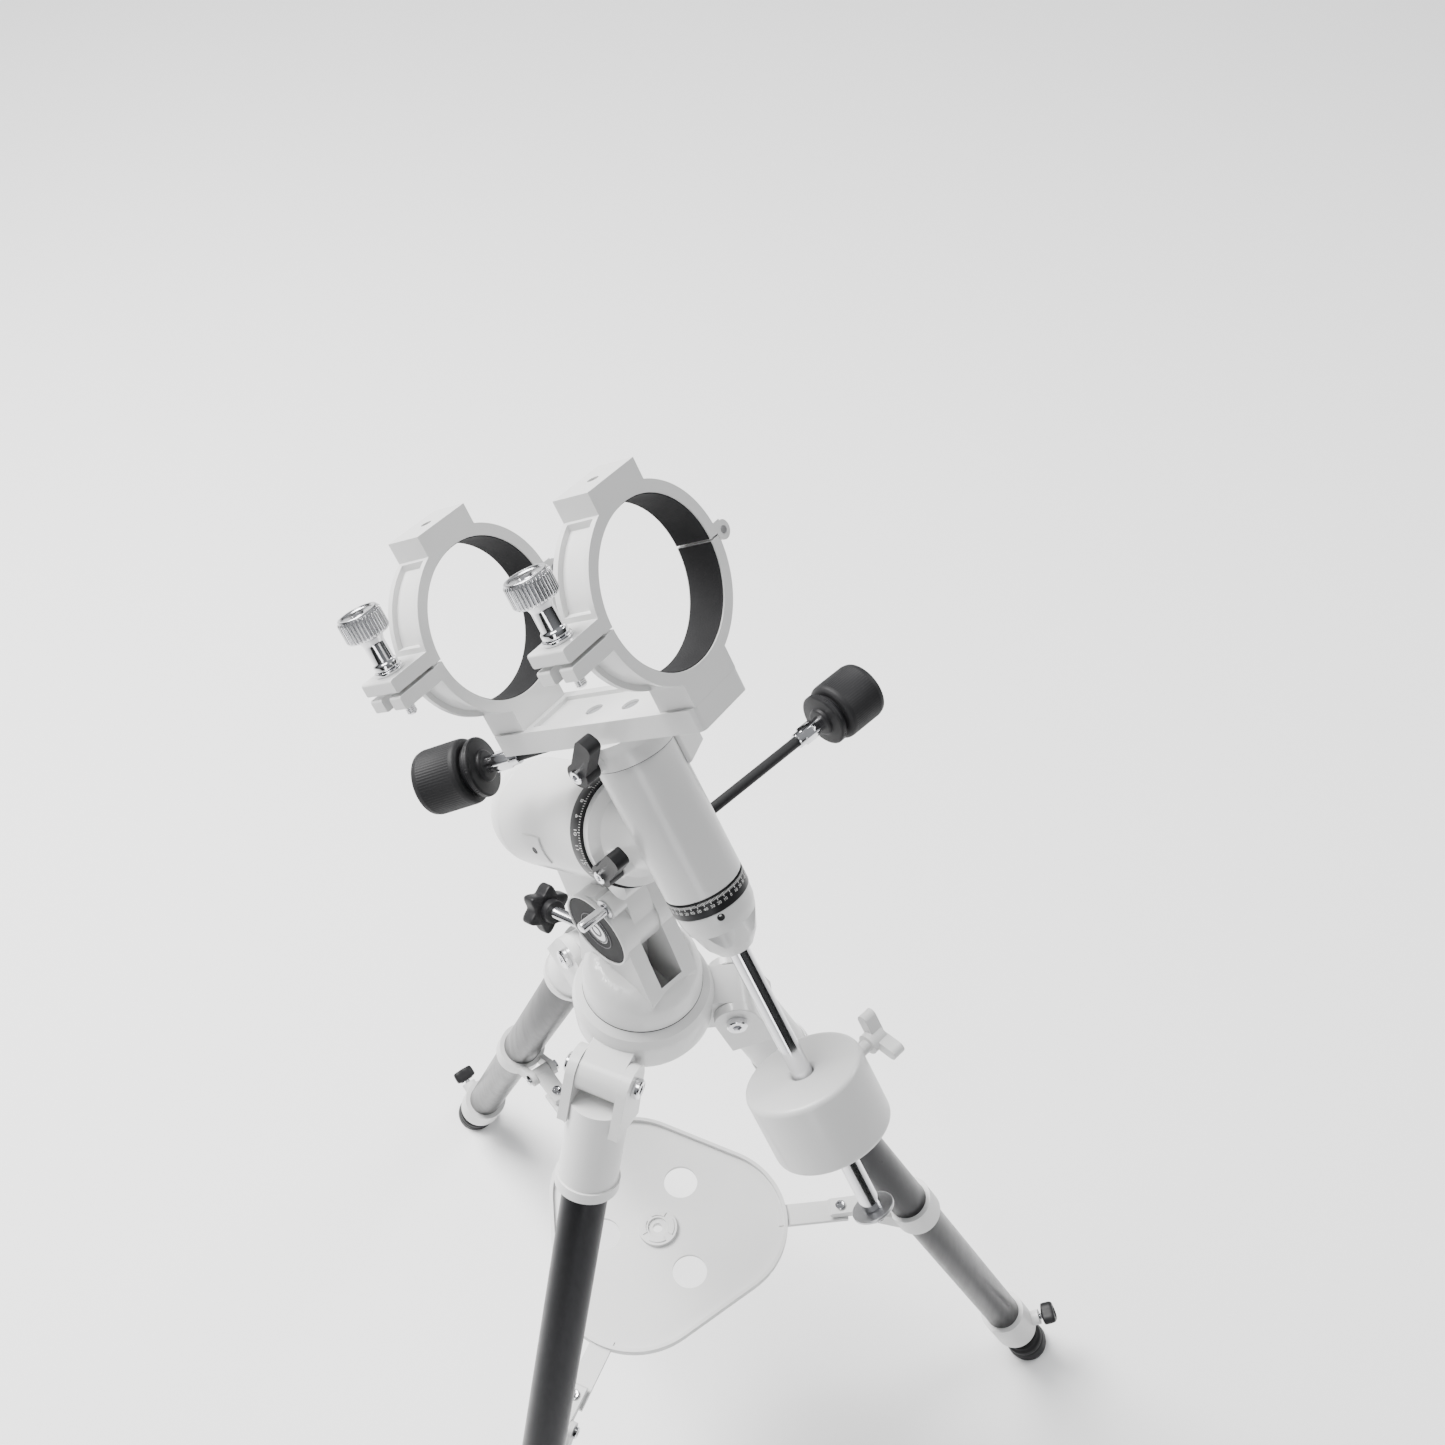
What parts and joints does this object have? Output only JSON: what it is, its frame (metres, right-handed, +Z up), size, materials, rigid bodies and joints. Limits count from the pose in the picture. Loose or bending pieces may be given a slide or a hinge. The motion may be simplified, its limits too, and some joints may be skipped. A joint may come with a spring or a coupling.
{
  "type": "equatorial telescope mount with tripod",
  "caption": "German equatorial mount with slow-motion worm drives, counterweight and tube rings, on a folding three-leg tripod with an accessory tray.",
  "frame": {"origin": "on the floor, under the azimuth axis", "axes": "+X to the north end of the polar axis, +Y to the west, +Z up"},
  "size_m": [0.6139, 0.6507, 1.1396],
  "materials": {
    "white_casting": "gloss white paint",
    "white_plastic": "smooth white moulded",
    "white_weight": "gloss white paint over iron",
    "leg_tube": "bright dark tube",
    "chrome": "polished",
    "steel": "machined",
    "brass": "machined",
    "black_plastic": "satin moulded",
    "circle_black": "satin black with white graduations",
    "lower_tube": "bright tube with a rubber foot"
  },
  "bodies": {
    "tripod_head": {"tripod_hub": "white_casting", "leg_pivot_bolts": "chrome"},
    "azimuth_lock": {"azimuth_bolt": "black_plastic"},
    "fork": {"fork": "white_casting", "latitude_badges": "black_plastic", "latitude_pivot": "chrome"},
    "latitude_lock": {"latitude_lock": "chrome"},
    "latitude_screw": {"latitude_screw": "black_plastic"},
    "polar_body": {"ra_housing": "white_casting", "ra_end_cap": "white_casting"},
    "ra_worm": {"ra_worm": "steel", "ra_control": "black_plastic"},
    "ra_wheel": {"ra_worm_wheel": "brass"},
    "dec_body": {"dec_housing": "white_casting", "ra_shaft": "steel"},
    "ra_circle": {"ra_circle": "circle_black"},
    "ra_clutch": {"ra_clutch_lever": "black_plastic"},
    "cradle": {"dec_head": "white_casting", "dec_shaft": "steel", "saddle_plate": "white_casting", "cradle_bolts": "chrome", "ring_lower_north": "white_casting", "ring_lower_south": "white_casting", "ring_hinge_pins": "steel", "shaft_cap": "white_casting", "counterweight_shaft": "chrome"},
    "dec_circle": {"dec_circle": "circle_black"},
    "dec_worm": {"dec_worm": "steel", "dec_control": "black_plastic"},
    "dec_wheel": {"dec_worm_wheel": "brass"},
    "dec_clutch": {"dec_clutch_lever": "black_plastic"},
    "counterweight": {"counterweight": "white_weight"},
    "counterweight_knob": {"counterweight_knob": "white_casting"},
    "safety_stop": {"safety_stop": "chrome"},
    "ring_top_north": {"ring_upper_north": "white_casting"},
    "ring_screw_north": {"ring_screw_north": "chrome"},
    "ring_top_south": {"ring_upper_south": "white_casting"},
    "ring_screw_south": {"ring_screw_south": "chrome"},
    "leg_1": {"leg_top_1": "white_casting", "upper_leg_1": "leg_tube", "leg_clamp_1": "white_plastic", "spreader_collar_1": "white_plastic"},
    "lower_leg_1": {"lower_leg_1": "lower_tube"},
    "leg_lock_1": {"leg_lock_screw_1": "chrome"},
    "spreader_link_1": {"spreader_link_1": "white_plastic"},
    "leg_2": {"leg_top_2": "white_casting", "upper_leg_2": "leg_tube", "leg_clamp_2": "white_plastic", "spreader_collar_2": "white_plastic"},
    "lower_leg_2": {"lower_leg_2": "lower_tube"},
    "leg_lock_2": {"leg_lock_screw_2": "chrome"},
    "spreader_link_2": {"spreader_link_2": "white_plastic"},
    "leg_3": {"leg_top_3": "white_casting", "upper_leg_3": "leg_tube", "leg_clamp_3": "white_plastic", "spreader_collar_3": "white_plastic"},
    "lower_leg_3": {"lower_leg_3": "lower_tube"},
    "leg_lock_3": {"leg_lock_screw_3": "chrome"},
    "spreader_link_3": {"spreader_link_3": "white_plastic"},
    "tray": {"accessory_tray": "white_plastic"}
  },
  "joints": [
    {"name": "azimuth", "type": "hinge", "parent": "tripod_head", "child": "fork", "pos_m": [0, 0, 0.725], "axis": [0, 0, 1], "continuous": true},
    {"name": "azimuth_lock_turn", "type": "hinge", "parent": "tripod_head", "child": "azimuth_lock", "pos_m": [0, 0, 0.657], "axis": [0, 0, 1], "continuous": true},
    {"name": "latitude", "type": "hinge", "parent": "fork", "child": "polar_body", "pos_m": [-0.01512, 0, 0.79102], "axis": [0, -1, 0], "range_deg": [0, 24]},
    {"name": "latitude_lock_turn", "type": "hinge", "parent": "fork", "child": "latitude_lock", "pos_m": [-0.007, -0.03, 0.82102], "axis": [0, -1, 0], "range_deg": [-180, 180]},
    {"name": "latitude_screw_turn", "type": "hinge", "parent": "fork", "child": "latitude_screw", "pos_m": [-0.07733, 0, 0.71877], "axis": [-0.8788, 0, -0.4772], "continuous": true},
    {"name": "ra_worm_turn", "type": "hinge", "parent": "polar_body", "child": "ra_worm", "pos_m": [0.00045, 0, 0.84955], "axis": [0, 1, 0], "continuous": true},
    {"name": "ra_wheel_turn", "type": "hinge", "parent": "polar_body", "child": "ra_wheel", "pos_m": [-0.01942, 0, 0.87689], "axis": [0.809, 0, 0.5878], "continuous": true},
    {"name": "right_ascension", "type": "hinge", "parent": "polar_body", "child": "dec_body", "pos_m": [0, 0, 0.891], "axis": [0.809, 0, 0.5878], "range_deg": [-60, 95]},
    {"name": "ra_circle_turn", "type": "hinge", "parent": "dec_body", "child": "ra_circle", "pos_m": [-0.00485, 0, 0.88747], "axis": [0.809, 0, 0.5878], "continuous": true},
    {"name": "ra_clutch_turn", "type": "hinge", "parent": "dec_body", "child": "ra_clutch", "pos_m": [0.0161, -0.035, 0.89776], "axis": [0, -1, 0], "range_deg": [-20, 30]},
    {"name": "declination", "type": "hinge", "parent": "dec_body", "child": "cradle", "pos_m": [0.03964, 0, 0.9198], "axis": [-0.5878, 0, 0.809], "continuous": true},
    {"name": "dec_circle_turn", "type": "hinge", "parent": "cradle", "child": "dec_circle", "pos_m": [0.0608, 0, 0.89068], "axis": [-0.5878, 0, 0.809], "continuous": true},
    {"name": "dec_worm_turn", "type": "hinge", "parent": "cradle", "child": "dec_worm", "pos_m": [-0.01163, 0.02022, 0.96537], "axis": [-0.6545, -0.5878, -0.4755], "continuous": true},
    {"name": "dec_wheel_turn", "type": "hinge", "parent": "cradle", "child": "dec_wheel", "pos_m": [0.00026, 0, 0.97401], "axis": [-0.5878, 0, 0.809], "continuous": true},
    {"name": "dec_clutch_turn", "type": "hinge", "parent": "cradle", "child": "dec_clutch", "pos_m": [0.00263, -0.03481, 0.97696], "axis": [0.0846, -0.9945, 0.0614], "range_deg": [-25, 25]},
    {"name": "counterweight_slide", "type": "slide", "parent": "cradle", "child": "counterweight", "axis": [-0.5878, 0, 0.809], "range_m": [-0.057, 0.088]},
    {"name": "counterweight_knob_turn", "type": "hinge", "parent": "counterweight", "child": "counterweight_knob", "pos_m": [0.15132, 0.05, 0.76609], "axis": [0, 1, 0], "continuous": true},
    {"name": "safety_stop_turn", "type": "hinge", "parent": "cradle", "child": "safety_stop", "pos_m": [0.20422, 0, 0.69328], "axis": [-0.5878, 0, 0.809], "continuous": true},
    {"name": "ring_north_open", "type": "hinge", "parent": "cradle", "child": "ring_top_north", "pos_m": [-0.01209, 0.07367, 1.0701], "axis": [-0.7777, -0.2756, -0.565], "range_deg": [0, 110]},
    {"name": "ring_north_screw_turn", "type": "hinge", "parent": "ring_top_north", "child": "ring_screw_north", "pos_m": [0.0047, -0.04937, 1.10702], "axis": [-0.5878, 0, 0.809], "continuous": true},
    {"name": "ring_south_open", "type": "hinge", "parent": "cradle", "child": "ring_top_south", "pos_m": [-0.11318, 0.03784, 0.99665], "axis": [-0.7777, -0.2756, -0.565], "range_deg": [0, 110]},
    {"name": "ring_south_screw_turn", "type": "hinge", "parent": "ring_top_south", "child": "ring_screw_south", "pos_m": [-0.0964, -0.08521, 1.03357], "axis": [-0.5878, 0, 0.809], "continuous": true},
    {"name": "leg_1_fold", "type": "hinge", "parent": "tripod_head", "child": "leg_1", "pos_m": [0.03776, 0.04663, 0.697], "axis": [-0.7771, 0.6293, 0], "range_deg": [0, 9]},
    {"name": "leg_1_extend", "type": "slide", "parent": "leg_1", "child": "lower_leg_1", "axis": [0.2459, 0.3037, -0.9205], "range_m": [0, 0.36]},
    {"name": "leg_1_lock_turn", "type": "hinge", "parent": "leg_1", "child": "leg_lock_1", "pos_m": [0.22751, 0.28095, 0.06345], "axis": [0.5793, 0.7154, 0.3907], "continuous": true},
    {"name": "spreader_1_fold", "type": "hinge", "parent": "leg_1", "child": "spreader_link_1", "pos_m": [0.11013, 0.136, 0.34929], "axis": [-0.7771, 0.6293, 0], "range_deg": [0, 55]},
    {"name": "leg_2_fold", "type": "hinge", "parent": "tripod_head", "child": "leg_2", "pos_m": [-0.05926, 0.00939, 0.697], "axis": [-0.1564, -0.9877, 0], "range_deg": [0, 9]},
    {"name": "leg_2_extend", "type": "slide", "parent": "leg_2", "child": "lower_leg_2", "axis": [-0.3859, 0.0611, -0.9205], "range_m": [0, 0.36]},
    {"name": "leg_2_lock_turn", "type": "hinge", "parent": "leg_2", "child": "leg_lock_2", "pos_m": [-0.35707, 0.05655, 0.06345], "axis": [-0.9092, 0.144, 0.3907], "continuous": true},
    {"name": "spreader_2_fold", "type": "hinge", "parent": "leg_2", "child": "spreader_link_2", "pos_m": [-0.17285, 0.02738, 0.34929], "axis": [-0.1564, -0.9877, 0], "range_deg": [0, 55]},
    {"name": "leg_3_fold", "type": "hinge", "parent": "tripod_head", "child": "leg_3", "pos_m": [0.0215, -0.05602, 0.697], "axis": [0.9336, 0.3584, 0], "range_deg": [0, 9]},
    {"name": "leg_3_extend", "type": "slide", "parent": "leg_3", "child": "lower_leg_3", "axis": [0.14, -0.3648, -0.9205], "range_m": [0, 0.36]},
    {"name": "leg_3_lock_turn", "type": "hinge", "parent": "leg_3", "child": "leg_lock_3", "pos_m": [0.12956, -0.33751, 0.06345], "axis": [0.3299, -0.8594, 0.3907], "continuous": true},
    {"name": "spreader_3_fold", "type": "hinge", "parent": "leg_3", "child": "spreader_link_3", "pos_m": [0.06272, -0.16338, 0.34929], "axis": [0.9336, 0.3584, 0], "range_deg": [0, 55]},
    {"name": "tray_drop", "type": "slide", "parent": "tripod_head", "child": "tray", "axis": [0, 0, -1], "range_m": [0, 0.136]}
  ],
  "couplings": [
    {"joint": "ra_wheel_turn", "follows": "ra_worm_turn", "ratio": -0.013889},
    {"joint": "dec_wheel_turn", "follows": "dec_worm_turn", "ratio": -0.02},
    {"joint": "leg_2_fold", "follows": "leg_1_fold", "ratio": 1},
    {"joint": "leg_3_fold", "follows": "leg_1_fold", "ratio": 1},
    {"joint": "tray_drop", "follows": "leg_1_fold", "m_per_rad": 0.85944}
  ]
}
